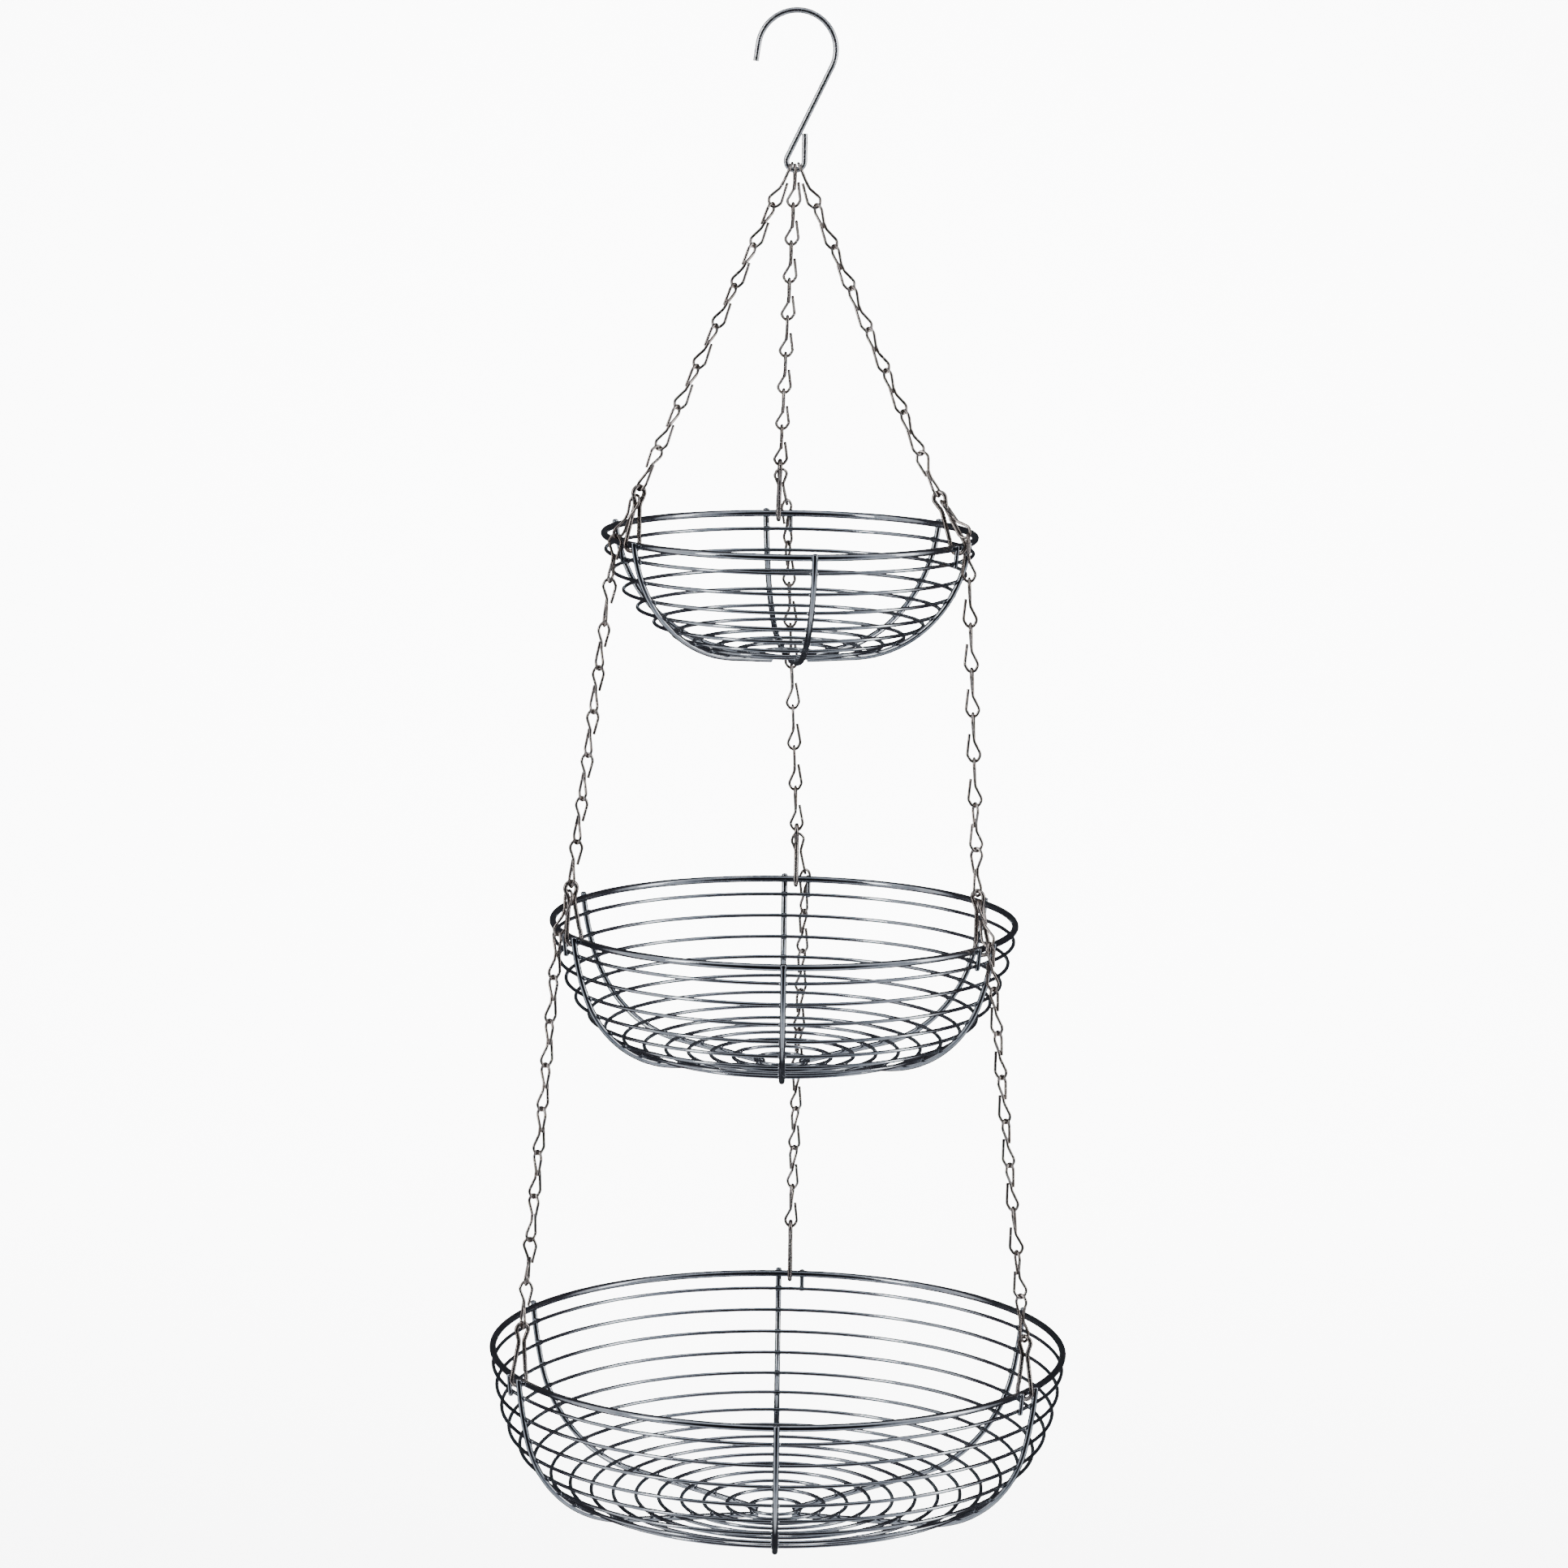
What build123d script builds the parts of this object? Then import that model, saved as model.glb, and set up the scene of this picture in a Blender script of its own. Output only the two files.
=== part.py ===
from build123d import *

import os
from dataclasses import dataclass
from math import asin, cos, degrees, radians, sin

# Three wire bowls of growing size hang one below the other, on three runs of jack chain each, from an
# S-shaped hook. All sizes are in millimetres. +Z is up, -Y is the front, and the origin is the inside
# top of the hook's big bend, where it bears on whatever carries it.

# Wire diameters
HOOK_WIRE = 3.0
LINK_WIRE = 1.6
HANGER_WIRE = 2.4
RIM_WIRE = 3.6
RIB_WIRE = 3.2
RING_WIRE = 2.0
STOP_WIRE = 2.4

WELD = 0.3  # how far two welded wires sink into each other
HOOK_PLAY = 0.4  # gap between the hook's small bend and each link that rocks in it
SWAY_PLAY = 1.15  # gap under a hanger's eye that its chain swings against

# Hook
BIG_BEND = 19.8
SMALL_BEND = 4.6
HOOK_DROP = 79.3  # from the inside top down to the middle of the wire at the lowest point
TIP_LENGTH = 9.0
TIP_FLARE = 8.0
TAIL_LENGTH = 14.0
HOOK_SPREAD = 52.0  # how far round the small bend the two front chains sit

# Basket bowls
RIB_RISE = 1.6  # how far a rib's upper end stands above the middle of the rim
FIRST_RING = 10.5
RING_PITCH = 12.0
FLOOR_SLOPE = 6.0
CENTRE_RING = 11.0
STOP_SPACING = 13.0  # along the rim, from a rib to the short stop wire beside it
HANGER_SPACING = 6.3  # along the rim, from the same rib to the hanger between the two
STOP_DROP = 10.5

# Hanger outline, measured from the middle of the rim wire that it goes round
EYE_TOP = 30.0
EYE_HALF = 3.6
EYE_WIDEST = 27.2
NECK_HALF = 1.4
NECK_HEIGHT = 20.5
BASE_HALF = 4.6
EYE_REST = 0.5  # how far outwards in the eye the chain below hangs
EYE_REST_DROP = 4.8
EYE_TURN = 8.5  # turn of the chain's first link in the eye

# Chain links
LINK_HALF = 3.5
LINK_SHOULDER = 3.6
LINK_CROWN = 2.8  # how far a loop's corner stands beyond its rounded end
TAIL_GAP = 2.0
CHAIN_STANDOFF = 10.5  # how far outside a rim the chain below passes
CHAIN_SHIFT = 3.7  # how far beside the hanger, towards its stop wire
LINK_TURN = 30.0  # how much one link may turn against the next where a run changes its lie


@dataclass
class Tier:
    """One basket: its size, its place and how it hangs. Angles are in degrees."""

    name: str
    radius: float  # outside of the rim
    rim_z: float
    turn: float  # of the front rib, to the right
    wall_radius: float
    wall_start: float  # lean of the wall at the rim
    wall_end: float
    corner_radius: float
    links: int  # in each of the three chains that carry it
    leans: dict  # of the three hangers, inwards
    lies: dict  # how the links of each chain are turned about its length


TIERS = [
    Tier("upper", 97.6, -266.4, 7.4, 72.0, 6.0, 26.0, 70.0, 8,
         {"left": 8.0, "right": 25.0, "back": 16.0}, {"left": -60.0, "right": 60.0, "back": 90.0}),
    Tier("middle", 122.5, -469.5, 0.0, 125.0, 6.0, 22.0, 62.0, 9,
         {"left": -4.0, "right": 7.0, "back": 2.0}, {"left": 90.0, "right": 20.0, "back": 90.0}),
    Tier("lower", 152.5, -698.9, 0.0, 220.0, 5.0, 14.0, 66.0, 10,
         {"left": 4.0, "right": 1.0, "back": 2.0}, {"left": 10.0, "right": 0.0, "back": 60.0}),
]
SIDES = {"left": -60.0, "right": 60.0, "back": 180.0}
RIB_NAMES = {0: "front", 60: "right_front", 120: "right_back", 180: "back", 240: "left_back", 300: "left_front"}


def around(angle, radius, z):
    """A point at an angle from the front, counted to the right."""
    return Vector(radius * sin(radians(angle)), -radius * cos(radians(angle)), z)


def rod(path, diameter):
    """A round wire along a path."""
    section = Plane(origin=path @ 0, z_dir=path % 0) * Circle(diameter / 2)
    return sweep(section, path=path)


def in_radial_plane(shape, angle, z=0.0):
    """Stand a flat-drawn shape up in the upright plane through the axis, x outwards and y up."""
    return Pos(0, 0, z) * Rot(0, 0, angle - 90) * (Plane.XZ * shape)


def write(node, solids):
    """Save one node. Loose pieces of a group stay separate solids."""
    shape = solids[0] if len(solids) == 1 else Compound(children=solids)
    export_step(shape, f"parts/{node}.step")
    print(node, len(solids), "solids, volume", round(sum(solid.volume for solid in solids), 1))


# ---- hook ----

def ceiling_hook():
    """Big open bend, slanting shank and small bend, all in the plane that faces the front."""
    big = Vector(0, HOOK_WIRE / 2 - BIG_BEND)
    small = Vector(0, SMALL_BEND - HOOK_DROP)
    lean = degrees(asin((BIG_BEND + SMALL_BEND) / (big - small).length))
    bend = CenterArc(big, BIG_BEND, 180 - TIP_FLARE, -(180 - TIP_FLARE + lean))
    tip = Line(bend @ 0 - (bend % 0) * TIP_LENGTH, bend @ 0)
    cradle = CenterArc(small, SMALL_BEND, 180 - lean, 180 + lean)
    shank = Line(bend @ 1, cradle @ 0)
    tail = Line(cradle @ 1, cradle @ 1 + Vector(0, TAIL_LENGTH))
    return Plane.XZ * rod(Wire([tip, bend, shank, cradle, tail]), HOOK_WIRE)


def hook_rest(side, end):
    """Where the top of a first link lies inside the hook's small bend, when it pulls towards an end."""
    place = {"left": -HOOK_SPREAD, "right": HOOK_SPREAD, "back": 0.0}[side]
    middle = Vector(0, 0, SMALL_BEND - HOOK_DROP)
    outwards = Vector(sin(radians(place)), 0, -cos(radians(place)))
    wire = middle + outwards * SMALL_BEND
    along = outwards.cross(Vector(0, 1, 0))
    pull = end - wire
    across = (pull - along * pull.dot(along)).normalized()
    return wire - across * ((HOOK_WIRE + LINK_WIRE) / 2 + HOOK_PLAY)


# ---- baskets ----

def rib_line(tier):
    """Middle of a rib: wall, rounded corner and sloping floor, from the rim to the centre ring."""
    start = Vector(tier.radius + RIB_WIRE / 2 - WELD, RIB_RISE)
    heading = Vector(-sin(radians(tier.wall_start)), -cos(radians(tier.wall_start)))
    wall = JernArc(start, heading, tier.wall_radius, tier.wall_start - tier.wall_end)
    corner = JernArc(wall @ 1, wall % 1, tier.corner_radius, tier.wall_end + FLOOR_SLOPE - 90)
    floor_run = ((corner @ 1).X - CENTRE_RING) / cos(radians(FLOOR_SLOPE))
    floor = Line(corner @ 1, corner @ 1 + (corner % 1) * floor_run)
    return Wire([wall, corner, floor])


def rings(tier):
    """Horizontal rings inside the ribs, evenly spaced along them: those of the side, then the floor's."""
    line = rib_line(tier)
    gaps = round((line.length - FIRST_RING - RIB_WIRE) / RING_PITCH)
    step = (line.length - FIRST_RING - RIB_WIRE) / gaps
    inset = (RIB_WIRE + RING_WIRE) / 2 - WELD
    side, floor = [], []
    for index in range(gaps + 1):
        reach = FIRST_RING + index * step
        along = line.tangent_at(reach, position_mode=PositionMode.LENGTH)
        place = line.position_at(reach, position_mode=PositionMode.LENGTH) + Vector(along.Y, -along.X) * inset
        ring = Pos(0, 0, tier.rim_z + place.Y) * Torus(place.X, RING_WIRE / 2)
        steep = -along.Y > sin(radians(2 * FLOOR_SLOPE))
        (side if steep else floor).append(ring)
    return side, floor


def stop_wires(tier):
    """Short uprights from the rim to the first ring, which keep each hanger beside its rib."""
    stops = []
    for angle in SIDES.values():
        place = tier.turn + angle - degrees(STOP_SPACING / tier.radius)
        lean = Vector(-sin(radians(tier.wall_start)), -cos(radians(tier.wall_start)))
        top = Vector(tier.radius + STOP_WIRE / 2 - WELD, 1.0)
        stops.append(in_radial_plane(rod(Line(top, top + lean * STOP_DROP), STOP_WIRE), place, tier.rim_z))
    return stops


# ---- hangers ----

def hanger_angle(tier, side):
    return tier.turn + SIDES[side] - degrees(HANGER_SPACING / tier.radius)


def hanger_place(tier, side, shape):
    """Lean a flat-drawn hanger shape inwards about the rim wire and stand it in its plane."""
    leaning = Pos(tier.radius - RIM_WIRE / 2, 0) * Rot(0, 0, tier.leans[side]) * shape
    return in_radial_plane(leaning, hanger_angle(tier, side), tier.rim_z)


def hanger_point(tier, side, outwards, up):
    return hanger_place(tier, side, Vertex(outwards, up, 0)).center()


def hanger(tier, side):
    """A closed pear-shaped loop: its base goes under the rim and its eye takes the chains."""
    crown = EYE_TOP + 1.8
    base = -(RIM_WIRE + HANGER_WIRE) / 2 - 0.1
    outer_side = [(BASE_HALF, base), (NECK_HALF, NECK_HEIGHT), (EYE_HALF, EYE_WIDEST)]
    inner_side = [(-x, y) for x, y in reversed(outer_side)]
    outline = FilletPolyline(*outer_side, (0, crown), *inner_side, close=True,
                             radius=[3.6, 6.0, 3.0, 3.0, 3.0, 6.0, 3.6])
    return hanger_place(tier, side, rod(outline, HANGER_WIRE))


def eye_top_rest(tier, side, gap):
    """Where the lowest wire of the chain above lies inside the eye."""
    return hanger_point(tier, side, 0, EYE_TOP - (HANGER_WIRE + LINK_WIRE) / 2 - gap)


def eye_side_rest(tier, side):
    """Where the top wire of the chain below lies inside the eye."""
    return hanger_point(tier, side, EYE_REST, EYE_TOP - EYE_REST_DROP)


# ---- chains ----

def link(length):
    """One jack-chain link: two open teardrop loops of one wire, at right angles to each other.

    Its top loop starts at the origin and it hangs down to -length, counted between wire middles.
    """
    upper = [(TAIL_GAP, 0, -0.52 * length), (LINK_HALF, 0, -LINK_SHOULDER), (0, 0, LINK_CROWN),
             (-LINK_HALF, 0, -LINK_SHOULDER), (-0.3, 0, -0.42 * length)]
    lower = [(0, -0.3, -0.58 * length), (0, -LINK_HALF, LINK_SHOULDER - length), (0, 0, -LINK_CROWN - length),
             (0, LINK_HALF, LINK_SHOULDER - length), (0, TAIL_GAP, -0.42 * length)]
    path = FilletPolyline(*upper, *lower, radius=[3.0, 2.6, 3.0, 3.0, 3.0, 3.0, 2.6, 3.0])
    return rod(path, LINK_WIRE)


def link_turns(count, first, lie, last):
    """Turn of each link about the run: it leaves its hanger, settles to its lie and meets the next."""
    turns = []
    for index in range(count):
        after, before = index * LINK_TURN, (count - 1 - index) * LINK_TURN
        turn = max(min(lie, first + after), first - after)
        turns.append(max(min(turn, last + before), last - before))
    return turns


def chain_run(start, end, angle, turns, via=None):
    """Links from one hung wire to the next, straight, or with the first one reaching out to a point."""
    tie = LINK_WIRE + 0.1
    count = len(turns)
    stretch = ((via - start).length + (end - via).length) if via else (end - start).length
    length = (stretch + (count - 1) * tie) / count
    one = link(length)
    tangential = around(angle + 90, 1, 0)
    top, links = start, []
    for index, turn in enumerate(turns):
        aim = via if via and index == 0 else end
        down = (aim - top).normalized()
        if not links and via:
            corner = top + down * length
            top_next = corner - (end - corner).normalized() * tie
        else:
            top_next = top + down * (length - tie)
        frame = Plane(origin=top, x_dir=tangential - down * tangential.dot(down), z_dir=-down)
        links.append(frame.location * Rot(0, 0, turn) * one)
        top = top_next
    return links


def upper_chain(tier, side):
    first = {"left": -33.0, "right": 27.0, "back": 90.0}[side]
    last = -90.0 if side == "left" else 90.0
    turns = link_turns(tier.links, first, tier.lies[side], last)
    end = eye_top_rest(tier, side, 0.1)
    return chain_run(hook_rest(side, end), end, hanger_angle(tier, side), turns)


def tier_chain(above, tier, side):
    start = eye_side_rest(above, side)
    angle = hanger_angle(above, side)
    pitch = LINK_WIRE + (above.rim_z - tier.rim_z) / tier.links
    reach = above.radius + CHAIN_STANDOFF - Vector(start.X, start.Y).length
    beside = angle - degrees(CHAIN_SHIFT / above.radius)
    via = around(beside, above.radius + CHAIN_STANDOFF, start.Z - (pitch**2 - reach**2) ** 0.5)
    turns = link_turns(tier.links, EYE_TURN, tier.lies[side], 80.0)
    return chain_run(start, eye_top_rest(tier, side, SWAY_PLAY), angle, turns, via)


def main():
    os.makedirs("parts", exist_ok=True)
    write("ceiling_hook", [ceiling_hook()])
    above = None
    for tier in TIERS:
        rim = Pos(0, 0, tier.rim_z) * Torus(tier.radius - RIM_WIRE / 2, RIM_WIRE / 2)
        side_rings, floor_rings = rings(tier)
        write(f"{tier.name}_rim", [rim])
        write(f"{tier.name}_side_rings", side_rings)
        write(f"{tier.name}_floor_rings", floor_rings)
        write(f"{tier.name}_stop_wires", stop_wires(tier))
        rib = rod(rib_line(tier), RIB_WIRE)
        for angle, name in RIB_NAMES.items():
            write(f"{tier.name}_rib_{name}", [in_radial_plane(rib, tier.turn + angle, tier.rim_z)])
        for side in SIDES:
            links = tier_chain(above, tier, side) if above else upper_chain(tier, side)
            write(f"{tier.name}_hanger_{side}", [hanger(tier, side)])
            write(f"{tier.name}_chain_{side}", links)
        above = tier


if __name__ == "__main__":
    main()
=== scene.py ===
from math import asin, cos, degrees, radians, sin, tan

import bpy
from mathutils import Matrix, Vector


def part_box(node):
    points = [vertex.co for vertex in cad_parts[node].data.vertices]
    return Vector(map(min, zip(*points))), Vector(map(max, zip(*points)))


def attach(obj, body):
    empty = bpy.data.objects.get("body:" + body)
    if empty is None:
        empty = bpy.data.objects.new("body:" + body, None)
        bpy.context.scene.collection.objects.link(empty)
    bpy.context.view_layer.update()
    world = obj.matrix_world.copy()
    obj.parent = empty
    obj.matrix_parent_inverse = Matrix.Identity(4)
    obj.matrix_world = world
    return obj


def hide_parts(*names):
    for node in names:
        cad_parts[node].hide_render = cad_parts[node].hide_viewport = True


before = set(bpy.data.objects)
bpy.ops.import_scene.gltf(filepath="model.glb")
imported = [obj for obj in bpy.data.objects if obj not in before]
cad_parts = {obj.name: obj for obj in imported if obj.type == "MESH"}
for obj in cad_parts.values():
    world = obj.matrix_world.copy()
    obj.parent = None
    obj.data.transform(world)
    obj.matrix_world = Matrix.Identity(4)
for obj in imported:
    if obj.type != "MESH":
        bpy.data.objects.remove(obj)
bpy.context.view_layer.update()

MM = 0.001  # lengths below are in millimetres, and Blender's are in metres


# ---- Ceiling hook ----
# One length of bright drawn steel wire, bent cold into an S and sheared off square at both ends. It
# isn't plated, so it is paler and less mirror-like than the baskets.

HOOK_WIRE = 3.0
BIG_BEND = 19.8  # radius of the wire's middle in the bend that goes over a ceiling fitting
SMALL_BEND = 4.6
HOOK_DROP = 79.3  # from the inside top down to the middle of the wire at the lowest point
TIP_LENGTH = 9.0
TIP_FLARE = 8.0  # degrees that the straight tip leans out
TAIL_LENGTH = 14.0
CRISP_EDGE = 50.0  # edges that turn by more degrees than this stay sharp, as where a wire is sheared
PATCH_SCALE = 45.0  # noise scale of the lighter and darker patches of metal
DARK_PATCH = 0.32  # noise values at which a patch is fully dark or light
LIGHT_PATCH = 0.62
MARK_DEPTH = 0.2  # of the fine marks' bump


def new_tree(name, sizes):
    """A Geometry Nodes tree with named inputs. Returns the tree and its input node."""
    tree = bpy.data.node_groups.new(name, "GeometryNodeTree")
    tree.interface.new_socket("Geometry", in_out="INPUT", socket_type="NodeSocketGeometry")
    for label, kind in sizes.items():
        tree.interface.new_socket(label, in_out="INPUT", socket_type=f"NodeSocket{kind}")
    tree.interface.new_socket("Geometry", in_out="OUTPUT", socket_type="NodeSocketGeometry")
    return tree, tree.nodes.new("NodeGroupInput")


def put(tree, kind, inputs, **settings):
    """Add a node. Each input is another node's socket, or a value."""
    node = tree.nodes.new(kind)
    for label, value in settings.items():
        setattr(node, label, value)
    for label, value in inputs.items():
        if isinstance(value, bpy.types.NodeSocket):
            tree.links.new(value, node.inputs[label])
        else:
            node.inputs[label].default_value = value
    return node


def named(tree, label, kind):
    """The values that a seed mesh carries under a name."""
    node = put(tree, "GeometryNodeInputNamedAttribute", {"Name": label}, data_type=kind)
    return node.outputs["Attribute"]


def wire_skin(tree, curve, thickness, sides, finish):
    """Give curves a round section with sheared ends, then close the tree with plain mesh and material."""
    half = put(tree, "ShaderNodeMath", {0: thickness, 1: 0.5}, operation="MULTIPLY")
    section = put(tree, "GeometryNodeCurvePrimitiveCircle",
                  {"Resolution": sides, "Radius": half.outputs[0]})
    tube = put(tree, "GeometryNodeCurveToMesh",
               {"Curve": curve, "Profile Curve": section.outputs["Curve"], "Fill Caps": True})
    finish_mesh(tree, tube.outputs["Mesh"], finish)


def finish_mesh(tree, mesh, finish):
    """Smooth faces, crisp edges where a wire is cut off, real geometry and one material."""
    smooth = put(tree, "GeometryNodeSetShadeSmooth", {"Geometry": mesh, "Shade Smooth": True})
    angle = put(tree, "GeometryNodeInputMeshEdgeAngle", {})
    crisp = put(tree, "FunctionNodeCompare",
                {"A": angle.outputs["Unsigned Angle"], "B": radians(CRISP_EDGE)},
                data_type="FLOAT", operation="GREATER_THAN")
    cut = put(tree, "GeometryNodeSetShadeSmooth",
              {"Geometry": smooth.outputs[0], "Selection": crisp.outputs[0], "Shade Smooth": False},
              domain="EDGE")
    real = put(tree, "GeometryNodeRealizeInstances", {"Geometry": cut.outputs[0]})
    coated = put(tree, "GeometryNodeSetMaterial", {"Geometry": real.outputs[0], "Material": finish})
    put(tree, "NodeGroupOutput", {"Geometry": coated.outputs[0]})


def bent_wire_tree():
    """Straight lines with a bend radius at each corner become round wire."""
    tree, given = new_tree("bent_wire", {"Wire": "Float", "Sides": "Int", "Bend steps": "Int",
                                         "Finish": "Material"})
    line = put(tree, "GeometryNodeMeshToCurve", {"Mesh": given.outputs["Geometry"]})
    bend = put(tree, "GeometryNodeFilletCurve",
               {"Curve": line.outputs[0], "Radius": named(tree, "bend", "FLOAT"),
                "Count": given.outputs["Bend steps"], "Limit Radius": True}, mode="POLY")
    wire_skin(tree, bend.outputs[0], given.outputs["Wire"], given.outputs["Sides"],
              given.outputs["Finish"])
    return tree


def seed_mesh(name, points, edges, **values):
    """A mesh of bare points and lines, in metres, with named values on its points."""
    mesh = bpy.data.meshes.new(name)
    mesh.from_pydata([Vector(point) * MM for point in points], edges, [])
    for label, numbers in values.items():
        is_vector = isinstance(numbers[0], (tuple, Vector))
        layer = mesh.attributes.new(label, "FLOAT_VECTOR" if is_vector else "FLOAT", "POINT")
        for item, number in zip(layer.data, numbers):
            setattr(item, "vector" if is_vector else "value", number)
    return mesh


def lines_mesh(name, lines):
    """Seed for bent wire. Each line is a list of (point, bend radius)."""
    points, bends, edges = [], [], []
    for line in lines:
        first = len(points)
        points += [point for point, bend in line]
        bends += [bend * MM for point, bend in line]
        edges += [(index, index + 1) for index in range(first, len(points) - 1)]
    return seed_mesh(name, points, edges, bend=bends)


def grow(name, outline, tree, body, slot, **sizes):
    """Run a tree on a seed mesh and keep the result as a plain mesh that rides on a body."""
    piece = bpy.data.objects.new(name, outline)
    bpy.context.scene.collection.objects.link(piece)
    modifier = piece.modifiers.new("grow", "NODES")
    modifier.node_group = tree
    for item in tree.interface.items_tree:
        label = item.name.lower().replace(" ", "_")
        if item.in_out == "INPUT" and label in sizes:
            modifier[item.identifier] = sizes[label]
    bpy.context.view_layer.update()
    finished = piece.evaluated_get(bpy.context.evaluated_depsgraph_get())
    grown = bpy.data.meshes.new_from_object(finished)
    piece.modifiers.remove(modifier)
    piece.data = grown
    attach(piece, body)
    return piece


def metal(name, dark, light, roughness, grain, dents):
    """Bare or plated wire with dark and light patches, uneven gloss and fine marks."""
    material = bpy.data.materials.new(name)
    material.use_nodes = True
    tree = material.node_tree
    shader = tree.nodes["Principled BSDF"]
    shader.inputs["Metallic"].default_value = 1.0
    place = put(tree, "ShaderNodeTexCoord", {}).outputs["Object"]
    patches = put(tree, "ShaderNodeTexNoise",
                  {"Vector": place, "Scale": PATCH_SCALE, "Detail": 5.0, "Roughness": 0.6})
    tone = put(tree, "ShaderNodeValToRGB", {"Fac": patches.outputs["Fac"]})
    tone.color_ramp.elements[0].position = DARK_PATCH
    tone.color_ramp.elements[0].color = (*dark, 1)
    tone.color_ramp.elements[1].position = LIGHT_PATCH
    tone.color_ramp.elements[1].color = (*light, 1)
    fine = put(tree, "ShaderNodeTexNoise",
               {"Vector": place, "Scale": grain, "Detail": 4.0, "Roughness": 0.55})
    gloss = put(tree, "ShaderNodeMapRange",
                {"Value": fine.outputs["Fac"], "From Min": 0.3, "From Max": 0.7,
                 "To Min": roughness[0], "To Max": roughness[1]})
    marks = put(tree, "ShaderNodeBump",
                {"Height": fine.outputs["Fac"], "Strength": dents, "Distance": MARK_DEPTH * MM})
    tree.links.new(tone.outputs["Color"], shader.inputs["Base Color"])
    tree.links.new(gloss.outputs["Result"], shader.inputs["Roughness"])
    tree.links.new(marks.outputs["Normal"], shader.inputs["Normal"])
    return material


def arc(centre, radius, start, end, steps):
    """Points round an arc in the plane that faces the front. Angles are in degrees from +X."""
    turns = [radians(start + (end - start) * step / steps) for step in range(steps + 1)]
    return [(centre[0] + radius * cos(turn), 0.0, centre[1] + radius * sin(turn)) for turn in turns]


big_middle = (0.0, HOOK_WIRE / 2 - BIG_BEND)
small_middle = (0.0, SMALL_BEND - HOOK_DROP)
shank_lean = degrees(asin((BIG_BEND + SMALL_BEND) / (big_middle[1] - small_middle[1])))
big_bend = arc(big_middle, BIG_BEND, 180 - TIP_FLARE, -shank_lean, steps=48)
small_bend = arc(small_middle, SMALL_BEND, 180 - shank_lean, 360, steps=28)
tip = (big_bend[0][0] - TIP_LENGTH * sin(radians(TIP_FLARE)), 0.0,
       big_bend[0][2] - TIP_LENGTH * cos(radians(TIP_FLARE)))
tail = (small_bend[-1][0], 0.0, small_bend[-1][2] + TAIL_LENGTH)

bent_wire = bent_wire_tree()
drawn_steel = metal("drawn_steel", dark=(0.46, 0.46, 0.47), light=(0.80, 0.80, 0.81),
                    roughness=(0.16, 0.32), grain=900.0, dents=0.25)
hook_line = [(point, 0.0) for point in (tip, *big_bend, *small_bend, tail)]
hook = grow("hook_wire", lines_mesh("hook_line", [hook_line]), bent_wire, "hook", "drawn_steel",
            wire=HOOK_WIRE * MM, sides=20, bend_steps=1, finish=drawn_steel)
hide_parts("ceiling_hook")


# ---- Basket frames: rims and ribs ----
# Each bowl hangs from a thick butt-welded rim of steel rod. Six ribs of slightly thinner rod are spot
# welded to its outside, run down the wall and turn under the floor. All of it is chrome plated after
# welding, so the plate is bright everywhere and only a little dull at the welds.

RIM_WIRE = 3.6
RIB_WIRE = 3.2
WELD = 0.3  # how far two welded wires sink into each other
RIB_RISE = 1.6  # how far a rib's end stands above the middle of the rim
RIB_END = (0.53, 0.5, 0.3)  # half length, width and height of its rounded top, in wire thicknesses
FLOOR_SLOPE = 6.0
CENTRE_RING = 11.0  # distance from the middle of the floor at which the ribs end
SMALLEST_LUMP = (0.88, 0.88, 0.9)  # limits of a weld lump's random size, as shares of its own
LARGEST_LUMP = (1.12, 1.12, 1.0)
RIB_ANGLES = {"front": 0, "right_front": 60, "right_back": 120,
              "back": 180, "left_back": 240, "left_front": 300}


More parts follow.
